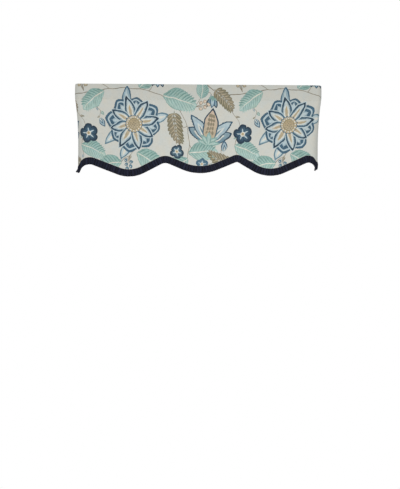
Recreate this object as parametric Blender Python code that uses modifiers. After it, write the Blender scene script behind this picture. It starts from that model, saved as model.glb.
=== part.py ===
"""Window valance: one cloth panel that turns two corners, and a brush fringe along its scalloped edge.

Metres, +Z up. The face looks along -Y, the two returns run back along +Y to their rear edges.
The origin is the middle of the face's top edge.

A point of the cloth has two flat coordinates: `across`, measured along the cut cloth from the middle,
positive to the right, and `drop`, measured down from the top edge. `hang` turns them into the place
where that point hangs.
"""

import math

import bmesh
import bpy
from mathutils import Vector

# The face and its returns
HALF_WIDTH = 0.535          # middle of the face to the outside of a return, at the heading
RETURN_DEPTH = 0.103        # front of the face to the rear edges
HEADING_RADIUS = 0.020      # plan radius of a corner where the rod holds it
HEM_RADIUS = 0.045          # plan radius of a corner at the lower edge
STITCH_DROP = 0.065         # the stitch line under the rod pocket
LONGEST_DROP = 0.370        # lowest point of the cloth's edge

# How far the hanging cloth leaves the heading's outline at its longest drop, one row a side:
# the corner moves in towards the middle, and the rear edge moves in less.
CORNER_IN = {"left": 0.016, "right": 0.015}
REAR_IN = {"left": 0.004, "right": 0.0045}

# Soft folds of the face: middle and half width across, and how far each comes forward at the edge
FOLDS = (
    # name, across, half_width, forward
    ("left_scoop", -0.335, 0.135, 0.013),
    ("left_rise", -0.160, 0.105, -0.008),
    ("middle_scoop", 0.010, 0.125, 0.011),
    ("right_rise", 0.172, 0.100, -0.009),
    ("right_scoop", 0.330, 0.130, 0.012),
)

# The cloth's lower edge, a zigzag with rounded corners
EDGE = (
    # name, across, drop, radius
    ("left_rear", -0.640, 0.3425, 0.0),
    ("left_corner", -0.5445, 0.3545, 0.022),
    ("first_rise", -0.500, 0.3080, 0.066),
    ("first_scoop", -0.3000, 0.3820, 0.115),
    ("second_rise", -0.149, 0.3025, 0.070),
    ("second_scoop", 0.010, 0.3690, 0.175),
    ("third_rise", 0.1790, 0.2980, 0.045),
    ("third_scoop", 0.3165, 0.3785, 0.123),
    ("fourth_rise", 0.507, 0.2940, 0.048),
    ("right_corner", 0.538, 0.3290, 0.020),
    ("right_rear", 0.640, 0.3285, 0.0),
)

# Rows of the heading band: how far each lies behind the face, and the cloth's thickness there
HEADING_ROWS = (
    # drop, behind, thickness
    (0.000, 0.0012, 0.0016),
    (0.002, 0.0000, 0.0035),
    (0.033, -0.0010, 0.0035),
    (0.061, 0.0000, 0.0035),
    (STITCH_DROP, 0.0012, 0.0020),
    (0.069, 0.0000, 0.0020),
)
CLOTH_THICKNESS = 0.0020
POCKET_THICKNESS = 0.0035   # two layers lie together in the rod pocket
ROWS_BELOW_HEADING = 5

# The fringe
PITCH = 0.010               # one tuft of the comb, and one column of the cloth
FRINGE_LENGTH = 0.030       # from the cloth's edge to the tips
SQUARE_TO = 0.480           # across: up to here the fringe is square to the edge
UPRIGHT_FROM = 0.504        # and from here on it hangs straight down
HEAD_LENGTH = 0.009         # the woven head that holds the tufts
FRINGE_THICKNESS = 0.0070
HEAD_SHARE = 0.60           # thickness of the head and of the tips, as shares of the fringe's
TIP_SHARE = 0.75
NOTCH = 0.0024              # width between two tufts at their tips
RAGGED = 0.0010             # how much a tuft is longer or shorter than the fringe
RAGGED_STEP = 2.4           # angle from one tuft to the next in the wave that sets their lengths
GAP = 0.0008                # between the cloth's edge and the fringe
TAIL_FLARE = {"left": 0.014, "right": -0.005}   # how far the rear tufts stand out at their tips
TAIL_REACH = {"left": 0.050, "right": 0.120}    # and the length over which that dies out

# Finishes: linear colour and roughness
CLOTH_COLOUR = (0.62, 0.61, 0.56)
CLOTH_ROUGHNESS = 0.85
YARN_COLOUR = (0.010, 0.012, 0.030)
YARN_ROUGHNESS = 0.90


class Line:
    """A straight stretch of a path."""

    def __init__(self, start, end):
        self.start = start
        self.length = (end - start).length
        self.direction = (end - start).normalized()

    def at(self, distance):
        return self.start + self.direction * distance, self.direction


class Arc:
    """A round stretch that starts at `start` heading along `direction` and turns by `turn`."""

    def __init__(self, start, direction, radius, turn):
        side = math.copysign(1.0, turn)
        self.centre = start + Vector((-direction.y, direction.x)) * radius * side
        self.start = start
        self.direction = direction
        self.turn = turn
        self.length = radius * abs(turn)

    def at(self, distance):
        angle = self.turn * distance / self.length
        point = self.centre + turned(self.start - self.centre, angle)
        return point, turned(self.direction, angle)


def turned(vector, angle):
    """A flat vector turned anticlockwise."""
    c = math.cos(angle)
    s = math.sin(angle)
    return Vector((vector.x * c - vector.y * s, vector.x * s + vector.y * c))


def rounded_path(points, radii):
    """Lines and arcs through the points of an open polyline, with its inner corners rounded."""
    path = []
    start = points[0]
    for before, corner, after, radius in zip(points, points[1:], points[2:], radii[1:]):
        arriving = (corner - before).normalized()
        leaving = (after - corner).normalized()
        turn = math.atan2(arriving.x * leaving.y - arriving.y * leaving.x, arriving.dot(leaving))
        reach = radius * math.tan(abs(turn) / 2)
        path.append(Line(start, corner - arriving * reach))
        path.append(Arc(corner - arriving * reach, arriving, radius, turn))
        start = corner + leaving * reach
    path.append(Line(start, points[-1]))
    return path


def path_length(path):
    return sum(piece.length for piece in path)


def point_on(path, distance):
    """The point and the direction of a path at a distance from its start."""
    for piece in path:
        if distance <= piece.length or piece is path[-1]:
            return piece.at(distance)
        distance -= piece.length


def smooth(value):
    """0 to 1 with level ends."""
    value = min(max(value, 0.0), 1.0)
    return value * value * (3 - 2 * value)


def slack(drop):
    """0 at the stitch line, where the rod holds the cloth, and 1 at the longest drop."""
    return smooth((drop - STITCH_DROP) / (LONGEST_DROP - STITCH_DROP))


def drawn_in(drop):
    """0 at the stitch line and 1 where the corners have moved in all the way, most of it high up."""
    part = min(max((drop - STITCH_DROP) / (LONGEST_DROP - STITCH_DROP), 0.0), 1.0)
    return 1 - (1 - part) ** 3


def plan_path(drop):
    """The outline that the cloth follows, seen from above, from the left rear to the right rear."""
    share = drawn_in(drop)
    left = -HALF_WIDTH + CORNER_IN["left"] * share
    right = HALF_WIDTH - CORNER_IN["right"] * share
    left_rear = -HALF_WIDTH + REAR_IN["left"] * share
    right_rear = HALF_WIDTH - REAR_IN["right"] * share
    radius = HEADING_RADIUS + (HEM_RADIUS - HEADING_RADIUS) * share
    points = [
        Vector((left_rear, RETURN_DEPTH)),
        Vector((left, 0.0)),
        Vector((right, 0.0)),
        Vector((right_rear, RETURN_DEPTH)),
    ]
    return rounded_path(points, [0.0, radius, radius, 0.0])


CUT_WIDTH = path_length(plan_path(0.0))


def fold(across):
    """How far the folds bring the face forward at the longest drop."""
    forward = 0.0
    for _, middle, half_width, depth in FOLDS:
        place = (across - middle) / half_width
        if abs(place) < 1:
            forward += depth * math.cos(math.pi / 2 * place) ** 2
    return forward


def hang(across, drop, behind=0.0):
    """Where a flat point hangs, and the outward direction of the cloth there."""
    path = plan_path(drop)
    place, along = point_on(path, (across / CUT_WIDTH + 0.5) * path_length(path))
    outward = Vector((along.y, -along.x))
    place += outward * (fold(across) * slack(drop) - behind)
    return Vector((place.x, place.y, -drop)), Vector((outward.x, outward.y, 0.0))


def fringe_direction(across, square):
    """Square to the cloth's edge along the face, and straight down round the corners."""
    upright = smooth((abs(across) - SQUARE_TO) / (UPRIGHT_FROM - SQUARE_TO))
    return square.lerp(Vector((0.0, 1.0)), upright).normalized()


def edge_stations():
    """Flat points along the lower edge, one tuft apart, and the fringe's direction at each."""
    points = [Vector((across, drop)) for _, across, drop, _ in EDGE]
    points[0].x = -CUT_WIDTH / 2
    points[-1].x = CUT_WIDTH / 2
    path = rounded_path(points, [radius for _, _, _, radius in EDGE])
    length = path_length(path)
    count = round(length / PITCH)
    stations = []
    for index in range(count + 1):
        point, along = point_on(path, length * index / count)
        stations.append((point, fringe_direction(point.x, Vector((-along.y, along.x)))))
    return stations


def principled(name, colour, roughness):
    """A plain material with the colour and roughness of a piece."""
    material = bpy.data.materials.new(name)
    material.use_nodes = True
    shader = material.node_tree.nodes["Principled BSDF"]
    shader.inputs["Base Color"].default_value = (*colour, 1.0)
    shader.inputs["Roughness"].default_value = roughness
    shader.inputs["Metallic"].default_value = 0.0
    return material


def add_object(name, shape, material, collection):
    """A smooth-shaded object from a finished bmesh."""
    mesh = bpy.data.meshes.new(name)
    shape.to_mesh(mesh)
    shape.free()
    mesh.materials.append(material)
    mesh.shade_smooth()
    made = bpy.data.objects.new(name, mesh)
    collection.objects.link(made)
    return made


def thicken(made, thickness, shares, offset):
    """Solidify a sheet, each vertex by its own share of the thickness."""
    group = made.vertex_groups.new(name="thickness")
    for index, share in enumerate(shares):
        group.add([index], share, "REPLACE")
    solidify = made.modifiers.new("thickness", "SOLIDIFY")
    solidify.thickness = thickness
    solidify.offset = offset
    solidify.use_even_offset = True
    solidify.vertex_group = group.name


def make_panel(stations, collection):
    """The cloth: a grid with a column for each station of the edge, heading rows and lower rows."""
    columns = len(stations) - 1
    rows = len(HEADING_ROWS) - 1 + ROWS_BELOW_HEADING
    heading_drop = HEADING_ROWS[-1][0]
    shape = bmesh.new()
    bmesh.ops.create_grid(shape, x_segments=columns, y_segments=rows, size=1.0)
    shares = []
    for vertex in shape.verts:
        column = round((vertex.co.x + 1) / 2 * columns)
        row = round((1 - vertex.co.y) / 2 * rows)
        edge_point = stations[column][0]
        if row < len(HEADING_ROWS):
            drop, behind, thickness = HEADING_ROWS[row]
        else:
            part = (row - len(HEADING_ROWS) + 1) / ROWS_BELOW_HEADING
            drop = heading_drop + (edge_point.y - heading_drop) * part
            behind = 0.0
            thickness = CLOTH_THICKNESS
        vertex.co = hang(edge_point.x, drop, behind)[0]
        shares.append(thickness / POCKET_THICKNESS)
    cloth = principled("cloth", CLOTH_COLOUR, CLOTH_ROUGHNESS)
    made = add_object("panel", shape, cloth, collection)
    thicken(made, POCKET_THICKNESS, shares, -1.0)


def tail_flare(across):
    """How far the tips stand out near a rear end."""
    side = "left" if across < 0 else "right"
    return TAIL_FLARE[side] * (1 - smooth((CUT_WIDTH / 2 - abs(across)) / TAIL_REACH[side]))


def make_fringe(stations, collection):
    """The fringe: a woven head with a comb of tufts along the cloth's whole edge."""
    shape = bmesh.new()
    shares = []

    def corner(point, down, depth, share, sideways=0.0):
        """A vertex below an edge point, on the middle of the cloth's thickness."""
        flat = point + down * depth + Vector((down.y, -down.x)) * sideways
        below_head = max(0.0, depth - HEAD_LENGTH) / (FRINGE_LENGTH - HEAD_LENGTH)
        place, outward = hang(flat.x, flat.y, CLOTH_THICKNESS / 2)
        place += outward * tail_flare(flat.x) * below_head
        shares.append(share)
        return shape.verts.new(place)

    tops = [corner(point, down, GAP, HEAD_SHARE) for point, down in stations]
    roots = [corner(point, down, HEAD_LENGTH, 1.0) for point, down in stations]
    for index in range(len(stations) - 1):
        length = FRINGE_LENGTH + RAGGED * math.sin(RAGGED_STEP * index)
        left_point, left_down = stations[index]
        right_point, right_down = stations[index + 1]
        left_tip = corner(left_point, left_down, length, TIP_SHARE, NOTCH / 2)
        right_tip = corner(right_point, right_down, length, TIP_SHARE, -NOTCH / 2)
        shape.faces.new((tops[index], roots[index], roots[index + 1], tops[index + 1]))
        shape.faces.new((roots[index], left_tip, right_tip, roots[index + 1]))
    yarn = principled("yarn", YARN_COLOUR, YARN_ROUGHNESS)
    made = add_object("fringe", shape, yarn, collection)
    thicken(made, FRINGE_THICKNESS, shares, 0.0)


def main():
    for old in list(bpy.data.objects):
        bpy.data.objects.remove(old, do_unlink=True)
    collection = bpy.data.collections.new("window_valance")
    bpy.context.scene.collection.children.link(collection)
    stations = edge_stations()
    make_panel(stations, collection)
    make_fringe(stations, collection)


main()
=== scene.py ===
"""Looks of the valance: the printed cloth with its rod pocket and side hems, its stitches,
and the brush fringe with the woven tape that holds it.

Metres, in the frame of the CAD: the face looks along -Y, the returns run back along +Y, +Z is up.

A point of the cut cloth has two flat coordinates: `across`, from the middle of the face, positive to
the right, and `drop`, down from the top edge. The printed side goes on over the top edge, where drop
is negative, and round each rear edge into a side hem. `printed_side` turns flat coordinates into the
place where that point hangs.
"""

import collections
import functools
import math

import bmesh
import bpy
import numpy as np
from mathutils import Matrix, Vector
from mathutils.bvhtree import BVHTree
from mathutils.geometry import delaunay_2d_cdt


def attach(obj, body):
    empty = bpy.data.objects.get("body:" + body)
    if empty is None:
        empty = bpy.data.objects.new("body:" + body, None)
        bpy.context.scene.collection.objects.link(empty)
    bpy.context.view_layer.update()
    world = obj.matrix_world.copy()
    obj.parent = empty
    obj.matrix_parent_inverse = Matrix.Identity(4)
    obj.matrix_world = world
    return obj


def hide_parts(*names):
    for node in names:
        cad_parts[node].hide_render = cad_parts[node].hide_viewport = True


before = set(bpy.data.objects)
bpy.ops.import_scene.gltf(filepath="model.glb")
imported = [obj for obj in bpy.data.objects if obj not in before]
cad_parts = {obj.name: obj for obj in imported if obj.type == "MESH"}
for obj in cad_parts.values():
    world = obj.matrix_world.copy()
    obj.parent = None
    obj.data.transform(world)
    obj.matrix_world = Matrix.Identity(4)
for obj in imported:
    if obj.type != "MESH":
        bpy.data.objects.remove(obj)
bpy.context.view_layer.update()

# ---- The hanging shape, the same as in the CAD ----------------------------------------------

HALF_WIDTH = 0.535          # middle of the face to the outside of a return, at the heading
RETURN_DEPTH = 0.103        # front of the face to the rear edges
HEADING_RADIUS = 0.020      # plan radius of a corner at the rod pocket
HEM_RADIUS = 0.045          # plan radius of a corner at the lower edge
STITCH_DROP = 0.065         # the stitch line under the rod pocket
LONGEST_DROP = 0.370        # lowest point of the cloth's edge
CORNER_IN = {"left": 0.016, "right": 0.015}     # how far the corners are drawn in at the lower edge
REAR_IN = {"left": 0.004, "right": 0.0045}      # and the rear edges

FOLDS = (
    # name, middle and half width across of a soft fold, and how far forward it comes at the edge
    ("left_scoop", -0.335, 0.135, 0.013),
    ("left_rise", -0.160, 0.105, -0.008),
    ("middle_scoop", 0.010, 0.125, 0.011),
    ("right_rise", 0.172, 0.100, -0.009),
    ("right_scoop", 0.330, 0.130, 0.012),
)

RIPPLES = (
    # Faint waves of the hanging cloth: wave length across and down, height, and start
    (0.210, 0.90, 0.0009, 1.3),
    (0.093, -0.50, 0.0005, 0.4),
    (0.047, 0.33, 0.0002, 2.1),
)

EDGE = (
    # name, across, drop, radius: the cloth's lower edge, a zigzag with rounded corners
    ("left_rear", -0.640, 0.3425, 0.0),
    ("left_corner", -0.5445, 0.3545, 0.022),
    ("first_rise", -0.500, 0.3080, 0.066),
    ("first_scoop", -0.3000, 0.3820, 0.115),
    ("second_rise", -0.149, 0.3025, 0.070),
    ("second_scoop", 0.010, 0.3690, 0.175),
    ("third_rise", 0.1790, 0.2980, 0.045),
    ("third_scoop", 0.3165, 0.3785, 0.123),
    ("fourth_rise", 0.507, 0.2940, 0.048),
    ("right_corner", 0.538, 0.3290, 0.020),
    ("right_rear", 0.640, 0.3285, 0.0),
)
SQUARE_TO = 0.480           # across: up to here the fringe is square to the edge
UPRIGHT_FROM = 0.504        # and from here on it hangs straight down


class Line:
    """A straight stretch of a path."""

    def __init__(self, start, end):
        self.start = start
        self.length = (end - start).length
        self.direction = (end - start).normalized()

    def at(self, distance):
        return self.start + self.direction * distance, self.direction


class Arc:
    """A round stretch that starts at `start` heading along `direction` and turns by `turn`."""

    def __init__(self, start, direction, radius, turn):
        side = math.copysign(1.0, turn)
        self.centre = start + Vector((-direction.y, direction.x)) * radius * side
        self.start = start
        self.direction = direction
        self.turn = turn
        self.length = radius * abs(turn)

    def at(self, distance):
        angle = self.turn * distance / self.length
        point = self.centre + turned(self.start - self.centre, angle)
        return point, turned(self.direction, angle)


def turned(vector, angle):
    """A flat vector turned anticlockwise."""
    c = math.cos(angle)
    s = math.sin(angle)
    return Vector((vector.x * c - vector.y * s, vector.x * s + vector.y * c))


def rounded_path(points, radii):
    """Lines and arcs through the points of an open polyline, with its inner corners rounded."""
    path = []
    start = points[0]
    for before, corner, after, radius in zip(points, points[1:], points[2:], radii[1:]):
        arriving = (corner - before).normalized()
        leaving = (after - corner).normalized()
        turn = math.atan2(arriving.x * leaving.y - arriving.y * leaving.x, arriving.dot(leaving))
        reach = radius * math.tan(abs(turn) / 2)
        path.append(Line(start, corner - arriving * reach))
        path.append(Arc(corner - arriving * reach, arriving, radius, turn))
        start = corner + leaving * reach
    path.append(Line(start, points[-1]))
    return path


def path_length(path):
    return sum(piece.length for piece in path)


def point_on(path, distance):
    """The point and the direction of a path at a distance from its start."""
    for piece in path:
        if distance <= piece.length or piece is path[-1]:
            return piece.at(distance)
        distance -= piece.length


def smooth(value):
    """0 to 1 with level ends."""
    value = min(max(value, 0.0), 1.0)
    return value * value * (3 - 2 * value)


def slack(drop):
    """0 down to the stitch line, where the cloth is held, and 1 at the longest drop."""
    return smooth((drop - STITCH_DROP) / (LONGEST_DROP - STITCH_DROP))


def drawn_in(drop):
    """0 at the stitch line and 1 where the corners have moved in all the way, most of it high up."""
    part = min(max((drop - STITCH_DROP) / (LONGEST_DROP - STITCH_DROP), 0.0), 1.0)
    return 1 - (1 - part) ** 3


@functools.lru_cache(maxsize=None)
def plan_path(drop):
    """The outline that the cloth follows, seen from above, from the left rear to the right rear."""
    share = drawn_in(drop)
    left = -HALF_WIDTH + CORNER_IN["left"] * share
    right = HALF_WIDTH - CORNER_IN["right"] * share
    left_rear = -HALF_WIDTH + REAR_IN["left"] * share
    right_rear = HALF_WIDTH - REAR_IN["right"] * share
    radius = HEADING_RADIUS + (HEM_RADIUS - HEADING_RADIUS) * share
    points = [
        Vector((left_rear, RETURN_DEPTH)),
        Vector((left, 0.0)),
        Vector((right, 0.0)),
        Vector((right_rear, RETURN_DEPTH)),
    ]
    path = rounded_path(points, [0.0, radius, radius, 0.0])
    return path, path_length(path)


CUT_WIDTH = plan_path(0.0)[1]
DROP_STEP = 0.0002          # plan outlines are kept for drops this far apart


def fold(across):
    """How far the folds bring the face forward at the longest drop."""
    forward = 0.0
    for _, middle, half_width, depth in FOLDS:
        place = (across - middle) / half_width
        if abs(place) < 1:
            forward += depth * math.cos(math.pi / 2 * place) ** 2
    return forward


def ripple(across, drop):
    waves = (height * math.sin(2 * math.pi * (across / wide + drop / tall) + start)
             for wide, tall, height, start in RIPPLES)
    return sum(waves)


def hang(across, drop, behind=0.0):
    """Where a flat point hangs, and the outward direction of the cloth there."""
    path, length = plan_path(round(drop / DROP_STEP) * DROP_STEP)
    place, along = point_on(path, (across / CUT_WIDTH + 0.5) * length)
    outward = Vector((along.y, -along.x))
    place += outward * ((fold(across) + ripple(across, drop)) * slack(drop) - behind)
    return Vector((place.x, place.y, -drop)), Vector((outward.x, outward.y, 0.0))


# ---- The cloth's layers ---------------------------------------------------------------------

CLOTH_THICKNESS = 0.0012    # one layer
TOP_RADIUS = 0.00175        # outside radius of the fold along the top of the rod pocket
POCKET_TURN = 0.0685        # how far down the back the pocket's cloth reaches
POCKET_PUFF = 0.0010        # how far the pocket's front stands forward in the middle of its height
GROOVE_DEPTH = 0.0007       # how far the stitches pull the cloth in, front and back
GROOVE_REACH = 0.0024
PUCKER_HEIGHT = 0.0004      # small gathers along the stitches
PUCKER_REACH = 0.012
PUCKER_WAVES = ((0.013, 0.6, 0.0), (0.0215, 0.4, 1.1))   # wave length, share, start
SIDE_RADIUS = 0.00135       # outside radius of the fold along a side hem
SIDE_HEM = 0.020            # width of a side hem
HEM_TOP = STITCH_DROP + 0.001   # a side hem shows below the rod pocket
TAKEN_UP = 0.0012           # the lower edge is taken up this far into the seam of the fringe
MEETING = 1e-5              # points this near to a line are on it

HALF_CUT = CUT_WIDTH / 2
TURN_BACK = (math.pi - 2) * TOP_RADIUS + POCKET_TURN    # flat length of the cloth behind the top edge
HEM_REACH = HALF_CUT + (math.pi - 2) * SIDE_RADIUS + SIDE_HEM   # flat half width with a side hem


def folded_back(distance, radius):
    """Cloth folded flat round an edge: how far along, how far behind and at what angle it lies.

    distance is the flat distance past the line where the fold begins.
    """
    if distance <= 0:
        return distance, 0.0, 0.0
    angle = distance / radius
    if angle < math.pi:
        return radius * math.sin(angle), radius * (1 - math.cos(angle)), angle
    return math.pi * radius - distance, 2 * radius, math.pi


def pucker(across, drop):
    waves = sum(share * math.sin(2 * math.pi * across / length + start)
                for length, share, start in PUCKER_WAVES)
    return PUCKER_HEIGHT * waves * math.exp(-((drop - STITCH_DROP) / PUCKER_REACH) ** 2)


def relief(across, drop, on_back):
    """How far the cloth stands forward of its plain hanging shape near the rod pocket."""
    groove = GROOVE_DEPTH * math.exp(-((drop - STITCH_DROP) / GROOVE_REACH) ** 2)
    if on_back:
        return groove + pucker(across, drop)
    puff = POCKET_PUFF * math.sin(math.pi * min(max(drop / STITCH_DROP, 0.0), 1.0))
    return puff - groove + pucker(across, drop)


def printed_side(across, drop):
    """Where a point of the printed side hangs, and the direction in which that side looks there."""
    up, behind, top_angle = folded_back(TOP_RADIUS - drop, TOP_RADIUS)
    real_drop = TOP_RADIUS - up
    side = math.copysign(1.0, across)
    along, side_angle = 0.0, 0.0
    real_across = across
    if drop > HEM_TOP - MEETING:
        along, depth, side_angle = folded_back(abs(across) - (HALF_CUT - SIDE_RADIUS), SIDE_RADIUS)
        real_across = side * (HALF_CUT - SIDE_RADIUS + along)
        behind += depth
    on_back = top_angle > math.pi / 2
    place, outward = hang(real_across, real_drop, behind - relief(real_across, real_drop, on_back))
    rearward = Vector((-outward.y, outward.x, 0.0)) * side
    facing = outward * math.cos(top_angle) + Vector((0.0, 0.0, 1.0)) * math.sin(top_angle)
    if side_angle:
        facing = outward * math.cos(side_angle) + rearward * math.sin(side_angle)
    return place, facing


def fringe_direction(across, square):
    """Square to the cloth's edge along the face, and straight down round the corners."""
    upright = smooth((abs(across) - SQUARE_TO) / (UPRIGHT_FROM - SQUARE_TO))
    return square.lerp(Vector((0.0, 1.0)), upright).normalized()


def edge_stations(step):
    """Flat points along the lower edge, about one step apart, and the fringe's direction at each.

    The edge is taken up a little into the seam of the fringe.
    """
    points = [Vector((across, drop)) for _, across, drop, _ in EDGE]
    points[0].x = -HALF_CUT
    points[-1].x = HALF_CUT
    path = rounded_path(points, [radius for _, _, _, radius in EDGE])
    length = path_length(path)
    count = round(length / step)
    stations = []
    for index in range(count + 1):
        point, along = point_on(path, length * index / count)
        square = Vector((-along.y, along.x))
        taken_up = point - square * TAKEN_UP
        taken_up.x = min(max(taken_up.x, -HALF_CUT), HALF_CUT)
        stations.append((taken_up, fringe_direction(taken_up.x, square)))
    return stations


# ---- The print ------------------------------------------------------------------------------
#
# The print is drawn as filled outlines on the flat cloth. A motif is drawn upwards from its own
# origin, about one unit long, so the lengths in its drawing are shares of its size, and a Spot puts
# it on the cloth. Later shapes lie over earlier ones.

REPEAT = 0.686              # the print's width before it repeats
FIRST_BLOOM = -0.285        # across, where the large flower of the middle repeat sits

INKS = {
    # sRGB, 0 to 255
    "ground": (201, 202, 194),
    "navy": (33, 55, 72),
    "blue": (66, 99, 119),
    "slate": (98, 129, 143),
    "sky": (146, 170, 180),
    "mist": (182, 198, 201),
    "cream": (214, 212, 200),
    "deep_sea": (114, 150, 143),
    "sea": (138, 171, 163),
    "foam": (168, 193, 185),
    "bark": (134, 126, 110),
    "taupe": (136, 128, 108),
    "olive": (118, 114, 90),
    "sand": (180, 168, 142),
    "gold": (172, 154, 118),
    "blush": (200, 180, 160),
}

HAND = (
    # the unsteadiness of the hand that drew the print: waves in a repeat, and how far they reach
    (9, 0.0017),
    (31, 0.0005),
)
HAND_DRIFT = (1.1, 1.4)     # radians by which each wave drifts along the other direction

# A filled outline whose ink changes evenly from one colour to another along a line
Shape = collections.namedtuple("Shape", "outline near far start end")
shapes = []


def hand_drawn(points):
    """Flat points moved a little this way and that, alike in every repeat."""
    x, y = points.T
    moved = points.copy()
    for waves, reach in HAND:
        pace = 2 * math.pi * waves / REPEAT
        moved[:, 0] += reach * np.sin(pace * y + HAND_DRIFT[0] * np.cos(pace * x))
        moved[:, 1] += reach * np.sin(pace * x + HAND_DRIFT[1] * np.cos(pace * y))
    return moved


def add_shape(outline, near, far, start, end):
    """A shape of the print, kept where it can show on the cloth."""
    outline = hand_drawn(outline)
    low = outline.min(axis=0)
    high = outline.max(axis=0)
    if (low < (HEM_REACH, LONGEST_DROP + GRID)).all() and (high > (-HEM_REACH, -TURN_BACK)).all():
        shapes.append(Shape(outline, near, far, start, end))


def turned_points(points, degrees, x=0.0, y=0.0):
    """Points turned about the origin and then moved by x, y."""
    angle = math.radians(degrees)
    c = math.cos(angle)
    s = math.sin(angle)
    px, py = np.atleast_2d(points).T
    return np.column_stack((x + px * c - py * s, y + px * s + py * c))


class Spot:
    """Where a motif sits on the flat cloth: its origin, size in metres and turn in degrees.

    hand is -1 for a mirrored motif.
    """

    def __init__(self, across, drop, size, turn, hand=1):
        self.origin = np.array((across, drop))
        self.scale = (size * hand, size)
        self.turn = turn

    def flat(self, points):
        """Flat coordinates of a motif's points."""
        return self.origin + turned_points(np.atleast_2d(points) * self.scale, self.turn) * (1, -1)


def fill(spot, outline, near, far=None, start=(0.0, 0.0), end=(0.0, 1.0)):
    """One shape of a motif, in one ink, or in inks that change from near at start to far at end."""
    add_shape(spot.flat(outline), near, far or near, *spot.flat((start, end)))


def bent(points, curve):
    """Points of a unit-long motif bent to one side."""
    points = np.array(points, float)
    points[:, 0] += curve * points[:, 1] ** 2
    return points


def petal(length, width, belly=0.5, full=0.8, count=21):
    """A pointed oval from the origin up. belly is where it is widest, and a low full makes it blunt.

    count is the number of points on a side. They lie closer together at both ends.
    """
    power = math.log(0.5) / math.log(belly)
    even = np.linspace(0, 1, count + 2)[1:-1]
    part = (even + (1 - np.cos(math.pi * even)) / 2) / 2
    side = width / 2 * np.sin(math.pi * part ** power) ** full
    right = np.column_stack((side, part * length))
    return np.vstack(((0, 0), right, (0, length), right[::-1] * (-1, 1)))


TOOTH_VALLEY = 0.15         # where the side dips between two teeth, as a share of a tooth
TOOTH_POINT = 0.85
TOOTH_LEAN = 0.035          # how far the points lean towards the tip
TEETH_END = 0.96            # how far up the teeth go


def frilled(length, width, teeth, depth, belly, full, first=0.0):
    """A petal or leaf with pointed teeth along both sides, from `first` of its length on."""
    power = math.log(0.5) / math.log(belly)
    rows = []
    for tooth in range(teeth):
        for part, share, lean in ((TOOTH_VALLEY, 1 - depth, 0.0), (TOOTH_POINT, 1.0, TOOTH_LEAN)):
            place = first + (1 - first) * (tooth + part) / teeth * TEETH_END
            side = width / 2 * math.sin(math.pi * place ** power) ** full * share
            rows.append((side, (place + lean * (1 - place)) * length))
    right = np.array(rows)
    return np.vstack(((0, 0), right, (0, length), right[::-1] * (-1, 1)))


def disc(radius, x=0.0, y=0.0, count=14):
    angles = np.arange(count) * 2 * math.pi / count
    return np.column_stack((x + radius * np.cos(angles), y + radius * np.sin(angles)))


def scalloped(radius, lobes, depth=0.12, count=4):
    """A round outline with lobes."""
    angles = np.arange(lobes * count) * 2 * math.pi / (lobes * count)
    reach = radius * (1 - depth + depth * np.abs(np.cos(angles * lobes / 2)))
    return np.column_stack((reach * np.cos(angles), reach * np.sin(angles)))


def flowing(points, steps=5):
    """A smooth curve through a few points."""
    p = np.asarray(points, float)
    p = np.vstack((2 * p[0] - p[1], p, 2 * p[-1] - p[-2]))
    curve = []
    for a, b, c, d in zip(p, p[1:], p[2:], p[3:]):
        for t in np.arange(steps) / steps:
            curve.append(b + (c - a) * t / 2 + (a - 2.5 * b + 2 * c - d / 2) * t * t
                         + (1.5 * (b - c) + (d - a) / 2) * t ** 3)
    return np.vstack((curve, p[-2]))


def ribbon(points, width, tip=0.4, steps=5):
    """A line that narrows from width to its tip's share of it."""
    middle = flowing(points, steps)
    along = np.gradient(middle, axis=0)
    side = np.column_stack((-along[:, 1], along[:, 0])) / np.linalg.norm(along, axis=1)[:, None]
    half = width / 2 * np.linspace(1, tip, len(middle))[:, None]
    return np.vstack((middle + side * half, (middle - side * half)[::-1]))


def layered(spot, turn, layers):
    """Petals of falling size on one axis: each is (outline, near, far, from, to) along it."""
    for outline, near, far, low, high in layers:
        ends = turned_points(((0, low), (0, high)), turn)
        fill(spot, turned_points(outline, turn), near, far, ends[0], ends[1])


BLOOM_LEAVES = (
    # turn, reach and bend of the long leaves behind the large flower
    (8, 1.30, 0.16),
    (98, 1.22, -0.20),
    (158, 1.30, 0.14),
    (262, 1.26, -0.16),
)


def bloom_leaves(spot):
    for turn, reach, lean in BLOOM_LEAVES:
        for outline, near, far in (
            (petal(reach, 0.34, 0.66, 0.8), "slate", "blue"),
            (petal(reach * 0.95, 0.26, 0.66, 0.8), "mist", "sky"),
            (petal(reach * 0.90, 0.10, 0.72, 0.8), "cream", "mist"),
        ):
            fill(spot, turned_points(bent(outline, lean), turn), near, far)


def frilled_petal(spot, turn, reach):
    """A broad petal of the large flower, with a toothed rim and a fan of strokes in its middle."""
    layered(spot, turn, (
        (frilled(reach, 0.68, 15, 0.10, 0.66, 0.7, 0.35), "navy", "blue", 0.3, 1.0),
        (petal(reach * 0.92, 0.56, 0.66, 0.7), "slate", "mist", 0.3, 0.9),
        (petal(reach * 0.87, 0.49, 0.64, 0.7), "navy", "blue", 0.3, 0.9),
        (petal(reach * 0.76, 0.32, 0.62, 0.7), "blue", "sky", 0.3, 0.8),
    ))
    for lean in (-16, -8, 0, 8, 16):
        stroke = turned_points(petal(0.28 - 0.006 * abs(lean), 0.026, 0.5, 0.8, 4), lean, 0, 0.53)
        fill(spot, turned_points(stroke, turn), "mist")


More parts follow.
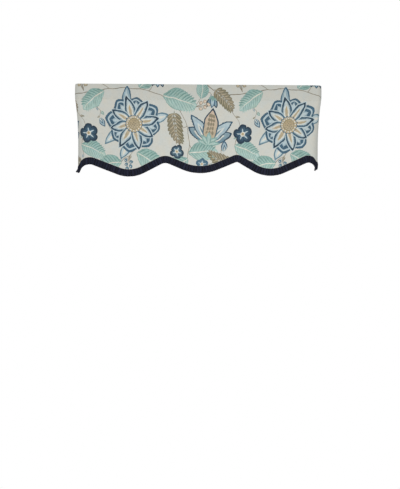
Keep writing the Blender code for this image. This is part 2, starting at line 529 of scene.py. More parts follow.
def pointed_petal(spot, turn, reach):
    """A narrow petal of the large flower, hatched along both sides."""
    layered(spot, turn, (
        (petal(reach, 0.42, 0.52, 0.85), "mist", "mist", 0, 1),
        (petal(reach * 0.96, 0.355, 0.52, 0.85), "blue", "navy", 0.3, 0.9),
        (petal(reach * 0.86, 0.25, 0.54, 0.85), "slate", "mist", 0.2, 0.8),
        (petal(reach * 0.80, 0.19, 0.54, 0.85), "cream", "mist", 0.3, 0.9),
        (petal(reach * 0.68, 0.09, 0.56, 0.85), "sand", "gold", 0.3, 0.7),
    ))
    for side in (-1, 1):
        for step in range(5):
            y = 0.46 + 0.075 * step
            x = side * (0.105 - 0.012 * step)
            hatch = turned_points(petal(0.055, 0.014, 0.5, 0.8, 3), -side * 35, x, y)
            fill(spot, turned_points(hatch, turn), "blue")


def bloom_eye(spot):
    fill(spot, scalloped(0.32, 16), "blue")
    fill(spot, scalloped(0.29, 16), "gold", "sand", (0, -0.3), (0, 0.3))
    dot_ring(spot, 0.235, 0.026, 16, 0.5, "cream")
    fill(spot, disc(0.19, count=24), "olive")
    fill(spot, disc(0.175, count=24), "sand", "gold", (0, -0.2), (0, 0.2))
    dot_ring(spot, 0.12, 0.020, 10, 0.0, "taupe")
    dot_ring(spot, 0.05, 0.020, 4, 0.0, "taupe")


def dot_ring(spot, reach, radius, count, first, ink):
    """Dots on a circle. first is the place of the first one, in dots."""
    for k in range(count):
        angle = 2 * math.pi * (k + first) / count
        fill(spot, disc(radius, reach * math.cos(angle), reach * math.sin(angle), 8), ink)


def open_bloom(spot, petals=8):
    """The large flower from the front: leaves, frilled petals, pointed ones between, and an eye.

    Its petals are of uneven length.
    """
    bloom_leaves(spot)
    for k in range(petals):
        frilled_petal(spot, 360 / petals * (k + 0.5), 0.97 + 0.05 * math.sin(2.4 * k))
    for k in range(petals):
        pointed_petal(spot, 360 / petals * k, 0.93 + 0.08 * math.cos(1.9 * k))
    bloom_eye(spot)


def side_bloom(spot):
    """A flower in profile: side petals that curl outwards, a scaled middle one and green sepals."""
    for turn, length, width, ink in ((64, 0.74, 0.30, "slate"), (36, 0.92, 0.34, "sky")):
        for side in (-1, 1):
            for outline, near, far in (
                (frilled(length, width, 8, 0.10, 0.55, 0.8, 0.3), "navy", "blue"),
                (petal(length * 0.93, width * 0.78, 0.55, 0.8), ink, "mist"),
                (petal(length * 0.72, width * 0.34, 0.6, 0.8, 9), "cream", "mist"),
                (petal(length * 0.62, width * 0.12, 0.6, 0.8, 7), "slate", "slate"),
            ):
                curl = turned_points(bent(outline, -0.22 * side), turn * 0.75 * side)
                fill(spot, curl, near, far, (0, 0.1), (0, 0.9))
    fill(spot, petal(1.0, 0.44, 0.5, 0.8), "blue", "navy")
    fill(spot, petal(0.94, 0.37, 0.5, 0.8), "sand", "blush", (0, 0.2), (0, 0.9))
    for row in range(5):
        for place in (-1, 0, 1):
            x = place * 0.085 * (1 - 0.10 * row)
            scale = turned_points(petal(0.11, 0.065, 0.5, 0.8, 7), 0, x, 0.27 + 0.115 * row)
            fill(spot, scale, "taupe")
    for turn in (76, 42, -42, -76, 0):
        layered(spot, turn, (
            (petal(0.34, 0.14, 0.45, 0.9, 7), "deep_sea", "sea", 0, 0.3),
            (petal(0.28, 0.07, 0.45, 0.9, 5), "foam", "foam", 0, 0.3),
        ))


def broad_leaf(spot, width=0.64, curve=0.14, ribs=9):
    """A toothed leaf, darker on one half, with pale stripes between its ribs."""
    outline = frilled(1.0, width, 13, 0.07, 0.42, 0.75)
    fill(spot, bent(outline, curve), "deep_sea", "sea", (-0.3, 0.0), (0.1, 0.9))
    inside = outline * (0.93, 0.97) + (0, 0.012)
    fill(spot, bent(inside, curve), "sea", "foam", (-0.25, 0.2), (0.3, 0.8))
    for rib in range(ribs):
        place = 0.05 + 0.82 * rib / ribs
        reach = width * 0.60 * math.sin(math.pi * (0.12 + 0.82 * place) ** 0.85)
        for side in (-1, 1):
            turn = -side * (58 - 16 * place)
            stripe = turned_points(petal(reach, 0.052, 0.62, 0.8, 7), turn, 0, place)
            fill(spot, bent(stripe, curve), "foam" if side > 0 else "deep_sea")
            vein = turned_points(petal(reach * 0.9, 0.014, 0.4, 0.8, 4), turn, 0, place + 0.022)
            fill(spot, bent(vein, curve), "deep_sea" if side > 0 else "foam")
    fill(spot, bent(petal(0.98, 0.030, 0.3, 0.6), curve), "cream")


def frond(spot, near="taupe", far="olive", pairs=8, curve=0.22):
    """A sprig of narrow leaflets in pairs."""
    fill(spot, bent(petal(1.0, 0.03, 0.3, 0.6, 9), curve), far)
    for pair in range(pairs):
        place = 0.10 + 0.82 * pair / (pairs - 1)
        reach = 0.34 * math.sin(math.pi * (0.25 + 0.60 * place))
        for side in (-1, 1):
            turn = -side * (60 - 22 * place)
            leaflet = turned_points(petal(reach, reach * 0.44, 0.55, 0.8, 9), turn, 0, place)
            fill(spot, bent(leaflet, curve), near, far, (0, place), (side * 0.3, place))
            vein = turned_points(petal(reach * 0.85, reach * 0.09, 0.5, 0.9, 3), turn, 0, place)
            fill(spot, bent(vein, curve), "sand")
    fill(spot, bent(turned_points(petal(0.2, 0.10, 0.5, 0.8, 7), 0, 0, 0.92), curve), near)


def blossom(spot, dark="navy", light="blue", petals=5):
    """A small round flower."""
    for k in range(petals):
        layered(spot, 360 / petals * k, (
            (petal(1.0, 0.88, 0.66, 0.6), dark, dark, 0, 1),
            (petal(0.84, 0.60, 0.66, 0.6), light, dark, 0.2, 0.9),
            (petal(0.62, 0.13, 0.6, 0.8, 7), "mist", "mist", 0, 1),
        ))
    fill(spot, disc(0.25), "cream")
    fill(spot, disc(0.15, count=8), "gold")


def berries(spot, skin="sand", rim="taupe", count=5):
    """A spray of berries on fine stems."""
    places = []
    for k in range(count):
        up = 0.35 + 0.65 * k / (count - 1)
        places.append(((-1) ** k * 0.28 * (1 - 0.5 * up) + 0.04, up))
    for x, y in places:
        fill(spot, ribbon(((0, 0), (x * 0.25, y * 0.5), (x, y)), 0.04, 0.6, 3), "bark")
    for x, y in places:
        fill(spot, disc(0.14, x, y, 18), rim)
        fill(spot, disc(0.105, x, y, 16), skin)
        fill(spot, disc(0.035, x + 0.03, y + 0.035, 10), "cream")


def bud(spot):
    """A half-open flower."""
    for turn, dark, light in ((-24, "navy", "slate"), (24, "navy", "slate"), (0, "blue", "mist")):
        layered(spot, turn, (
            (petal(0.95, 0.38, 0.5, 0.8, 9), dark, dark, 0, 1),
            (petal(0.84, 0.22, 0.5, 0.8, 7), light, "sky", 0, 1),
        ))
    for turn in (-48, 48, 0):
        layered(spot, turn, ((petal(0.42, 0.18, 0.45, 0.9, 7), "deep_sea", "sea", 0, 0.4),))


def pod(spot):
    """A closed bud with a toothed rim and a pale middle."""
    layered(spot, 0, (
        (frilled(1.0, 0.62, 9, 0.12, 0.45, 0.8), "navy", "blue", 0, 1),
        (petal(0.86, 0.44, 0.45, 0.8), "mist", "sky", 0, 1),
        (petal(0.70, 0.28, 0.45, 0.8), "slate", "blue", 0, 1),
        (petal(0.52, 0.10, 0.45, 0.8, 7), "cream", "mist", 0, 1),
    ))


VINE_STEPS = 12             # points of a vine's outline from one of its places to the next
VINE_TIP = 0.5              # its width at the end, as a share of that at its start
VINE_LEAF = 0.019           # length of a leaf on a vine
VINE_LEAF_VARIES = 0.005    # and how far that varies
VINE_LEAF_WAVE = 2.7        # radians from one leaf to the next in the wave by which it does
VINE_LEAF_TURN = 48         # degrees from the vine
VINE_LEAF_PLACE = 0.7       # where a leaf stands in its stretch of the vine
VINE_LEAF_INKS = (("sea", "deep_sea"), ("taupe", "olive"), ("sky", "slate"))


def vine(bloom, points, width, leaves):
    """A stem with small leaves on both sides, through points given from the large flower's place."""
    points = [(bloom + across, drop) for across, drop in points]
    line = flowing(points, VINE_STEPS)
    for number in range(leaves):
        index = int((number + VINE_LEAF_PLACE) / leaves * (len(line) - 2))
        along = line[index + 1] - line[index]
        side = 1 if number % 2 else -1
        heading = math.degrees(math.atan2(-along[1], along[0])) - 90 + side * VINE_LEAF_TURN
        size = VINE_LEAF + VINE_LEAF_VARIES * math.sin(VINE_LEAF_WAVE * number)
        leaf = Spot(*line[index], size, heading)
        fill(leaf, bent(petal(1.0, 0.50, 0.45, 0.8, 9), side * 0.2), *VINE_LEAF_INKS[number % 3])
        fill(leaf, bent(petal(0.9, 0.09, 0.4, 0.8, 5), side * 0.2), "cream")
    outline = ribbon(points, width, VINE_TIP, VINE_STEPS)
    add_shape(outline, "bark", "bark", outline[0], outline[0] + 1.0)


VINES = (
    # width, leaves, then points: across from the large flower, and drop
    (0.0038, 0, ((-0.40, -0.06), (-0.345, 0.02), (-0.27, 0.045), (-0.19, 0.035), (-0.10, 0.022),
                 (-0.02, 0.018), (0.07, 0.030), (0.15, 0.062), (0.205, 0.115), (0.235, 0.18),
                 (0.246, 0.26), (0.235, 0.34), (0.215, 0.42))),
    (0.0028, 3, ((0.205, 0.115), (0.262, 0.10), (0.30, 0.055), (0.332, 0.034), (0.350, 0.056))),
    (0.0028, 5, ((0.246, 0.26), (0.285, 0.325), (0.335, 0.345), (0.385, 0.315), (0.39, 0.27))),
    (0.0034, 4, ((0.02, 0.24), (-0.01, 0.30), (-0.055, 0.335), (-0.10, 0.40))),
    (0.0028, 3, ((-0.27, 0.045), (-0.255, 0.11), (-0.222, 0.155), (-0.212, 0.20))),
    (0.0028, 4, ((-0.212, 0.20), (-0.235, 0.25), (-0.225, 0.31), (-0.245, 0.36))),
    (0.0026, 2, ((0.07, 0.030), (0.10, -0.01), (0.11, -0.06))),
    (0.0026, 2, ((-0.10, 0.022), (-0.14, -0.01), (-0.15, -0.06))),
    (0.0026, 0, ((0.235, 0.18), (0.20, 0.205), (0.19, 0.235))),
    (0.0026, 5, ((-0.19, 0.035), (-0.175, 0.085), (-0.145, 0.115), (-0.15, 0.15))),
)


MOTIFS = (
    # drawing, across from the large flower, drop, size, turn, hand, and what else the drawing takes
    (broad_leaf, 0.135, 0.050, 0.152, -100, 1),
    (broad_leaf, -0.124, 0.030, 0.125, 122, -1, 0.62),
    (broad_leaf, 0.015, 0.300, 0.140, -114, 1, 0.66),
    (broad_leaf, -0.056, 0.338, 0.130, 96, -1),
    (broad_leaf, 0.240, 0.322, 0.140, 124, -1),
    (broad_leaf, 0.245, 0.300, 0.132, -78, 1),
    (broad_leaf, 0.030, 0.018, 0.115, -42, -1, 0.62),
    (broad_leaf, -0.236, 0.262, 0.122, -106, 1, 0.62),
    (broad_leaf, 0.300, 0.060, 0.090, -8, -1, 0.62),
    (frond, 0.180, 0.112, 0.135, 176, -1),
    (frond, -0.335, 0.020, 0.116, -124, 1),
    (frond, -0.226, 0.350, 0.125, 82, 1, "olive", "taupe"),
    (frond, 0.092, -0.030, 0.085, -60, 1, "olive", "taupe", 6),
    (side_bloom, 0.330, 0.260, 0.158, -8, 1),
    (open_bloom, 0.0, 0.172, 0.126, 12, 1),
    (blossom, -0.200, 0.214, 0.043, 10, 1),
    (blossom, 0.192, 0.292, 0.032, 40, 1, "navy", "slate"),
    (blossom, -0.382, 0.345, 0.027, 0, 1, "blue", "slate"),
    (pod, -0.150, 0.148, 0.042, -150, 1),
    (pod, 0.404, 0.292, 0.050, 4, 1),
    (bud, 0.112, -0.040, 0.060, 176, 1),
    (bud, 0.350, 0.052, 0.056, 172, 1),
    (berries, -0.212, 0.030, 0.060, 16, 1),
    (berries, 0.272, 0.098, 0.058, -70, 1, "blush"),
    (berries, -0.022, 0.312, 0.055, -176, 1, "slate", "blue"),
)


def draw_print():
    """Every shape of the print that the cloth can show."""
    for bloom in (FIRST_BLOOM - REPEAT, FIRST_BLOOM, FIRST_BLOOM + REPEAT):
        for width, leaves, points in VINES:
            vine(bloom, points, width, leaves)
        for draw, across, drop, size, turn, hand, *settings in MOTIFS:
            draw(Spot(bloom + across, drop, size, turn, hand), *settings)


# ---- Meshes ---------------------------------------------------------------------------------


def linear(colour):
    """Scene-linear RGB of an sRGB colour of 0 to 255."""
    value = np.asarray(colour, float) / 255
    return np.where(value <= 0.04045, value / 12.92, ((value + 0.055) / 1.055) ** 2.4)


def add_object(name, data):
    made = bpy.data.objects.new(name, data)
    bpy.context.scene.collection.objects.link(made)
    return made


def add_piece(name, points, faces, material):
    """A smooth-shaded mesh object that rides on the part's one body."""
    mesh = bpy.data.meshes.new(name)
    mesh.from_pydata([tuple(point) for point in points], [], [tuple(face) for face in faces])
    mesh.shade_smooth()
    mesh.materials.append(material)
    made = add_object(name, mesh)
    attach(made, "root")
    return made


def add_map(mesh, name, corners):
    """A UV map from one pair of numbers for each face corner."""
    layer = mesh.uv_layers.new(name=name)
    layer.uv.foreach_set("vector", np.asarray(corners, np.float32).ravel())


def add_wash(mesh, corners):
    """How much the brush shows in each face corner's ink, 0 on bare cloth and 1 on the print."""
    layer = mesh.attributes.new("wash", "FLOAT", "CORNER")
    layer.data.foreach_set("value", np.asarray(corners, np.float32))


def add_inks(mesh, corners):
    """The colour attribute that the materials read, from a scene-linear RGB for each face corner."""
    layer = mesh.color_attributes.new("ink", "FLOAT_COLOR", "CORNER")
    rgba = np.column_stack((corners, np.ones(len(corners))))
    layer.data.foreach_set("color", rgba.astype(np.float32).ravel())


def unit(vectors):
    return vectors / np.linalg.norm(vectors, axis=1)[:, None]


def vertex_normals(points, triangles):
    """Smooth normals of a triangle mesh, weighted by area."""
    a, b, c = (points[triangles[:, k]] for k in range(3))
    face_normals = np.cross(b - a, c - a)
    normals = np.zeros_like(points)
    for k in range(3):
        np.add.at(normals, triangles[:, k], face_normals)
    return unit(normals)


def border(triangles):
    """The vertices round a triangle mesh with one border, in its faces' direction."""
    sides = np.vstack((triangles[:, (0, 1)], triangles[:, (1, 2)], triangles[:, (2, 0)]))
    present = set(map(tuple, sides.tolist()))
    follows = {start: end for start, end in present if (end, start) not in present}
    loop = [min(follows)]
    while follows[loop[-1]] != loop[0]:
        loop.append(follows[loop[-1]])
    assert len(loop) == len(follows), "the cloth has more than one border"
    return np.array(loop)


# ---- The cloth ------------------------------------------------------------------------------

GRID = 0.006                # size of the cloth's mesh where nothing needs it finer
CORNER_GRID = 0.003         # and round the two corners of the face
CORNER_ZONE = 0.030
FOLD_GRID = 0.0008          # and round the folds at the top and the side hems
EDGE_GRID = 0.004           # and along the outline
CLEAR = 0.0012              # no point of the grid is nearer to the outline
STITCH_ROWS = (-9, -6, -3.5, -2, -1, 0, 1, 2, 3.5, 6, 9)     # millimetres from the stitches
CUT_ERROR = 1e-5            # points of the mesh this near to each other become one
RIM_STEPS = 4               # faces round the half circle of the cloth's rim
HEADING_PAINTED_SHADE = 0.94         # painted shade: the rod pocket's print is darkened to this share, standing in for the dimmer light on it
SHOW_THROUGH = 0.22         # how much of the print the wrong side shows
SOFT_REACH = 0.0045         # and how softly
SOFT_SAMPLES = 6
WRONG_SIDE = (200, 199, 190)    # sRGB
MAP_MARGIN = 0.004          # round the islands of the bake map, in metres of cloth


def divided(points, step):
    """A closed outline with points at most one step apart."""
    outline = []
    for start, end in zip(points, points[1:] + points[:1]):
        count = max(1, math.ceil((end - start).length / step))
        outline += [start.lerp(end, part / count) for part in range(count)]
    return outline


def cut_outline():
    """The flat outline of the printed side."""
    lower = [point for point, _ in edge_stations(EDGE_GRID)]
    corners = [
        Vector((-HALF_CUT, -TURN_BACK)),
        Vector((HALF_CUT, -TURN_BACK)),
        Vector((HALF_CUT, HEM_TOP)),
        Vector((HEM_REACH, HEM_TOP)),
        Vector((HEM_REACH, lower[-1].y)),
        *reversed(lower),
        Vector((-HEM_REACH, lower[0].y)),
        Vector((-HEM_REACH, HEM_TOP)),
        Vector((-HALF_CUT, HEM_TOP)),
    ]
    return divided(corners, EDGE_GRID)


def spread(start, end, step):
    """Evenly spaced numbers from start to end, about one step apart."""
    return np.linspace(start, end, max(2, round(abs(end - start) / step) + 1))


def grid_drops():
    """Rows of the cloth's mesh."""
    fold_end = TOP_RADIUS * (1 - math.pi)
    stitch_rows = STITCH_DROP + np.array(STITCH_ROWS) / 1000
    behind_rows = TOP_RADIUS * (2 - math.pi) - stitch_rows
    return np.concatenate((
        behind_rows[::-1],
        spread(behind_rows[0], fold_end, GRID)[1:],
        spread(fold_end, TOP_RADIUS, FOLD_GRID)[1:],
        spread(TOP_RADIUS, stitch_rows[0], GRID)[1:],
        stitch_rows[1:],
        spread(stitch_rows[-1], LONGEST_DROP + GRID, GRID)[1:],
    ))


def grid_acrosses():
    """Columns of the cloth's mesh."""
    corner = HALF_WIDTH - HEADING_RADIUS
    fold_start = HALF_CUT - SIDE_RADIUS
    fold_end = fold_start + math.pi * SIDE_RADIUS
    right = np.concatenate((
        spread(0, corner - CORNER_ZONE, GRID),
        spread(corner - CORNER_ZONE, corner + CORNER_ZONE, CORNER_GRID)[1:],
        spread(corner + CORNER_ZONE, fold_start, GRID)[1:],
        spread(fold_start, fold_end, FOLD_GRID)[1:],
        spread(fold_end, HEM_REACH, GRID)[1:-1],
    ))
    return np.concatenate((-right[:0:-1], right))


def grid_points():
    """The points of the grid inside the outline."""
    lower = [point for point, _ in edge_stations(EDGE_GRID)]
    edge_across = [point.x for point in lower]
    edge_drop = [point.y for point in lower]
    drops = grid_drops()
    points = []
    for across in grid_acrosses():
        in_side_hem = abs(across) > HALF_CUT - CLEAR
        top = (HEM_TOP if in_side_hem else -TURN_BACK) + CLEAR
        bottom = np.interp(across, edge_across, edge_drop) - 2 * CLEAR
        points += [Vector((across, drop)) for drop in drops if top < drop < bottom]
    return points


def signed_area(outline):
    """The area of a flat outline, negative where its points run clockwise in a chart with drop up."""
    x, y = np.asarray(outline).T
    return (x * np.roll(y, -1) - np.roll(x, -1) * y).sum() / 2


def triangulated(outline, others, loose):
    """Triangles that fill an outline, cut along the other outlines, with the loose points as corners.

    Gives flat points, triangles, the number of the topmost other outline over each triangle, or -1,
    and the point that each corner of the outline has become.
    """
    points = [Vector(point) for point in outline]
    faces = [list(range(len(outline)))]
    for other in others:
        faces.append(list(range(len(points), len(points) + len(other))))
        points += [Vector(point) for point in (other if signed_area(other) > 0 else other[::-1])]
    points += loose
    flat, _, triangles, origins, _, over = delaunay_2d_cdt(points, [], faces, 0, CUT_ERROR)
    flat = np.array([tuple(point) for point in flat])
    kept = [index for index, numbers in enumerate(over) if 0 in numbers]
    topmost = np.array([max(over[index]) - 1 for index in kept])
    triangles = np.array([triangles[index] for index in kept])
    used, triangles = np.unique(triangles, return_inverse=True)
    new_number = {old: new for new, old in enumerate(used.tolist())}
    became = {source: vertex for vertex, sources in enumerate(origins) for source in sources}
    corners = np.array([new_number[became[source]] for source in range(len(outline))])
    return flat[used], triangles.reshape(-1, 3), topmost, corners


class Side:
    """One side of the cloth: flat points and triangles, and where they hang."""

    def __init__(self, flat, triangles, depth):
        hung = [printed_side(*point) for point in flat]
        facing = np.array([tuple(direction) for _, direction in hung])
        self.flat = flat
        self.points = np.array([tuple(place) for place, _ in hung]) - facing * depth
        looks = -1 if depth else 1
        if (vertex_normals(self.points, triangles) * facing).sum() * looks < 0:
            triangles = triangles[:, ::-1]
        self.triangles = triangles
        self.normals = vertex_normals(self.points, triangles)


def chains(loop, corners):
    """The border's vertices from each corner to the next one along it, with both corners."""
    place = {vertex: index for index, vertex in enumerate(loop.tolist())}
    stretches = []
    for start, end in zip(corners, np.roll(corners, -1)):
        count = (place[end] - place[start]) % len(loop)
        stretches.append([int(loop[(place[start] + step) % len(loop)]) for step in range(count + 1)])
    return stretches


class Rim:
    """The rounded raw edge that joins the two sides of the cloth, between corners of its outline.

    A strip of faces runs from each row of vertices to the next. The first row is the border of the
    printed side, where the print's shapes have cut vertices of their own between the corners.
    """

    def __init__(self, front, back, front_corners, back_corners):
        loop = border(front.triangles)
        stretches = chains(loop, front_corners)
        if sum(map(len, stretches)) != len(loop) + len(front_corners):
            front_corners = front_corners[::-1]
            back_corners = back_corners[::-1]
            stretches = chains(loop, front_corners)
        outer = front.points[front_corners]
        inner = back.points[back_corners]
        self.points, self.normals = rounded_edge(outer, inner)
        self.faces = []
        self.flats = []         # flat coordinates of each face corner
        self.map_rows = []      # and the row of the bake map that it is in
        count = len(front_corners)
        first = len(front.points) + len(back.points)
        rows = [None]
        rows += [first + row * count + np.arange(count) for row in range(RIM_STEPS - 1)]
        rows.append(back_corners + len(front.points))
        reaches = rim_reaches(front.flat[front_corners])
        for number, stretch in enumerate(stretches):
            cuts = stretch[::-1]
            quad = ((1, number), (1, (number + 1) % count))
            self.add_face(cuts + [rows[row][place] for row, place in quad],
                          [*front.flat[cuts], *(reaches[row][place] for row, place in quad)], 0)
        for step in range(1, RIM_STEPS):
            for number in range(count):
                following = (number + 1) % count
                quad = ((step, following), (step, number), (step + 1, number), (step + 1, following))
                self.add_face([rows[row][place] for row, place in quad],
                              [reaches[row][place] for row, place in quad], step * 2 // RIM_STEPS)

    def add_face(self, corners, flats, map_row):
        self.faces.append([int(corner) for corner in corners])
        self.flats += flats
        self.map_rows += [map_row] * len(flats)


def rounded_edge(outer, inner):
    """Rows of points and normals half way round from the printed side's edge to the wrong side's."""
    half = (outer - inner) / 2
    radius = np.linalg.norm(half, axis=1)[:, None]
    along = np.roll(outer, -1, axis=0) - np.roll(outer, 1, axis=0)
    away = unit(np.cross(along, half))
    angles = [math.pi * step / RIM_STEPS for step in range(1, RIM_STEPS)]
    normals = [half / radius * math.cos(angle) + away * math.sin(angle) for angle in angles]
    return [(outer + inner) / 2 + normal * radius for normal in normals], normals


def rim_reaches(edge):
    """Flat coordinates of each row of the rim's vertices, as if the nearer side's cloth went on."""
    along = np.roll(edge, -1, axis=0) - np.roll(edge, 1, axis=0)
    away = unit(np.column_stack((along[:, 1], -along[:, 0]))) * math.copysign(1.0, signed_area(edge))
    arc = math.pi / RIM_STEPS * CLOTH_THICKNESS / 2
    return [edge + away * arc * min(row, RIM_STEPS - row) for row in range(RIM_STEPS + 1)]


def print_colours(flat, triangles, topmost):
    """The print's colour at each corner of the triangles, with painted shade on the rod pocket."""
    plain = Shape(None, "ground", "ground", np.zeros(2), np.ones(2))
    worn = [plain] + shapes
    near = np.array([linear(INKS[shape.near]) for shape in worn])
    far = np.array([linear(INKS[shape.far]) for shape in worn])
    start = np.array([shape.start for shape in worn])
    line = np.array([shape.end for shape in worn]) - start
    number = np.repeat(topmost + 1, 3)
    corner = flat[triangles.ravel()]
    part = ((corner - start[number]) * line[number]).sum(axis=1) / (line[number] ** 2).sum(axis=1)
    part = np.clip(part, 0, 1)[:, None]
    colours = near[number] * (1 - part) + far[number] * part
    # Painted shade: the print on the rod pocket, above the stitch line, is darkened.
    heading_painted_shade_mask = corner[:, 1] < STITCH_DROP
    colours[heading_painted_shade_mask] *= HEADING_PAINTED_SHADE
    return colours


def wrong_side_colours(front, colours, back):
    """Plain cloth through which a little of the print shows, at each corner of the back's triangles.

    The print shows softly: its colour is taken round each point.
    """
    flat_mesh = BVHTree.FromPolygons([(x, y, 0.0) for x, y in front.flat], front.triangles.tolist())
    face_inks = colours.reshape(-1, 3, 3).mean(axis=1)
    turns = 2 * math.pi * np.arange(SOFT_SAMPLES) / SOFT_SAMPLES
    round_point = np.column_stack((np.cos(turns), np.sin(turns))) * SOFT_REACH
    inks = np.zeros((len(back.flat), 3))
    for shift in np.vstack((round_point, round_point / 3)):
        under = [flat_mesh.find_nearest((x, y, 0.0))[2] for x, y in back.flat + shift]
        inks += face_inks[under] / (2 * SOFT_SAMPLES)
    mixed = linear(WRONG_SIDE) * (1 - SHOW_THROUGH) + inks * SHOW_THROUGH
    return mixed[back.triangles.ravel()]


def bake_map(flats, rows):
    """Flat coordinates as places in the bake map, where the wrong side lies in a row of its own."""
    width = 2 * (HEM_REACH + MAP_MARGIN)
    height = TURN_BACK + LONGEST_DROP + GRID + 2 * MAP_MARGIN
    moved = flats + (HEM_REACH + MAP_MARGIN, TURN_BACK + MAP_MARGIN)
    moved[:, 1] += rows * height
    return moved / width


def make_cloth(material):
    """The cloth as one closed mesh: printed side, wrong side and the rim between them."""
    draw_print()
    loose = grid_points()
    outline = cut_outline()
    drawn = [shape.outline for shape in shapes]
    flat, triangles, topmost, front_corners = triangulated(outline, drawn, loose)
    front = Side(flat, triangles, 0.0)
    flat, triangles, _, back_corners = triangulated(outline, [], loose)
    back = Side(flat, triangles, CLOTH_THICKNESS)
    rim = Rim(front, back, front_corners, back_corners)

    points = np.vstack((front.points, back.points, *rim.points))
    normals = np.vstack((front.normals, back.normals, *rim.normals))
    faces = front.triangles.tolist() + (back.triangles + len(front.points)).tolist() + rim.faces
    made = add_piece("valance_cloth", points, faces, material)
    front_flats = front.flat[front.triangles.ravel()]
    back_flats = back.flat[back.triangles.ravel()]
    flats = np.vstack((front_flats, back_flats, rim.flats))
    rows = np.concatenate((np.zeros(len(front_flats)), np.ones(len(back_flats)), rim.map_rows))
    add_map(made.data, "flat", flats)
    add_map(made.data, "OFBake", bake_map(flats, rows))
    inks = print_colours(front.flat, front.triangles, topmost)
    plain = np.tile(linear(WRONG_SIDE), (len(rim.flats), 1))
    add_inks(made.data, np.vstack((inks, wrong_side_colours(front, inks, back), plain)))
    printed = np.repeat(topmost >= 0, 3)
    add_wash(made.data, np.concatenate((printed, np.zeros(len(back_flats) + len(rim.flats)))))
    made.data.normals_split_custom_set_from_vertices([tuple(normal) for normal in normals])
    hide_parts("panel")
    return made


# ---- Threads and yarns ----------------------------------------------------------------------

TUBE_SIDES = 5
CELL_MARGIN = 0.12          # round a tube's faces in its cell of the map


def bar_faces(rows, sides):
    """Faces of a closed bar as (turn, row) pairs, in which turn `sides` is turn 0 again."""
    faces = [((turn, row), (turn + 1, row), (turn + 1, row + 1), (turn, row + 1))
             for row in range(rows - 1) for turn in range(sides)]
    faces.append([(turn, 0) for turn in reversed(range(sides))])
    faces.append([(turn, rows - 1) for turn in range(sides)])
    return faces


class Tubes:
    """Closed tapered tubes in one mesh, each with its own colour and its own cell of the bake map."""

    def __init__(self, sides):
        self.sides = sides
        self.points = []
        self.faces = []
        self.places = []        # (tube, turn 0 to 1, length 0 to 1) for each face corner
        self.colours = []       # one for each tube
        self.corners = []       # face corners of each tube

    def add(self, middles, radii, outward, colour):
        """A tube through its middles, with a radius at each. outward is any direction across it."""
        first = len(self.points)
        before = len(self.places)
        number = len(self.colours)
        last = len(middles) - 1
        for row, (middle, radius) in enumerate(zip(middles, radii)):
            ahead = middles[min(row + 1, last)] - middles[max(row - 1, 0)]
            self.points += self.ring(middle, radius, ahead, outward)
        for face in bar_faces(len(middles), self.sides):
            self.faces.append([first + row * self.sides + turn % self.sides for turn, row in face])
            self.places += [(number, turn / self.sides, row / last) for turn, row in face]
        self.corners.append(len(self.places) - before)
        self.colours.append(colour)

    def ring(self, middle, radius, ahead, outward):
        """Points round the tube, from its outward side on."""
        sideways = ahead.cross(outward).normalized()
        forward = sideways.cross(ahead).normalized()
        angles = (2 * math.pi * turn / self.sides for turn in range(self.sides))
        return [middle + (forward * math.cos(angle) + sideways * math.sin(angle)) * radius
                for angle in angles]

    def finish(self, name, material):
        """The mesh object. Its map has a square grid of cells, and a tube's faces fill its cell."""
        made = add_piece(name, self.points, self.faces, material)
        places = np.array(self.places)
        across_map = math.ceil(math.sqrt(len(self.colours)))
        cell = np.column_stack((places[:, 0] % across_map, places[:, 0] // across_map))
        inside = CELL_MARGIN + places[:, 1:] * (1 - 2 * CELL_MARGIN)
        add_map(made.data, "OFBake", (cell + inside) / across_map)
        add_inks(made.data, np.repeat(self.colours, self.corners, axis=0))
        return made


STITCH_PITCH = 0.0040       # one stitch to the next
STITCH_LENGTH = 0.0031
THREAD_RADIUS = 0.00026
THREAD_SHAPE = ((-0.4, 0.8), (0.9, 1.0), (0.9, 1.0), (-0.4, 0.8))   # height and radius along a stitch
THREAD = (208, 206, 194)    # sRGB
HEM_SEAM = 0.016            # a side hem's stitches, from the rear edge
STITCH_CLEAR = 0.002        # a seam ends this far from the cloth's edge
HEM_SEAM_TOP = 0.006        # and a side hem's this far below the hem's top


def stitch_along(tubes, start, end):
    """Stitches on the printed side, on a straight line from one flat point to another."""
    count = round((end - start).length / STITCH_PITCH)
    step = (end - start) / count
    filled = STITCH_LENGTH / STITCH_PITCH
    radii = [THREAD_RADIUS * radius for _, radius in THREAD_SHAPE]
    for index in range(count):
        middles = []
        for part, (lift, _) in enumerate(THREAD_SHAPE):
            flat = start + step * (index + 0.5 + filled * (part / (len(THREAD_SHAPE) - 1) - 0.5))
            place, facing = printed_side(flat.x, flat.y)
            middles.append(place + facing * THREAD_RADIUS * lift)
        tubes.add(middles, radii, facing, linear(THREAD))


def make_stitches(material):
    """The seam under the rod pocket and those of the side hems, front and back."""
    tubes = Tubes(TUBE_SIDES)
    seam_end = HALF_CUT - STITCH_CLEAR
    pocket_behind = TOP_RADIUS * (2 - math.pi) - STITCH_DROP
    for drop in (STITCH_DROP, pocket_behind):
        stitch_along(tubes, Vector((-seam_end, drop)), Vector((seam_end, drop)))
    lower = [point for point, _ in edge_stations(EDGE_GRID)]
    hem_behind = HALF_CUT + (math.pi - 2) * SIDE_RADIUS + HEM_SEAM
    for side, bottom in ((-1, lower[0].y), (1, lower[-1].y)):
        for across in (HALF_CUT - HEM_SEAM, hem_behind):
            top = Vector((side * across, HEM_TOP + HEM_SEAM_TOP))
            stitch_along(tubes, top, Vector((side * across, bottom - STITCH_CLEAR)))
    return tubes.finish("valance_stitches", material)


# ---- The fringe -----------------------------------------------------------------------------

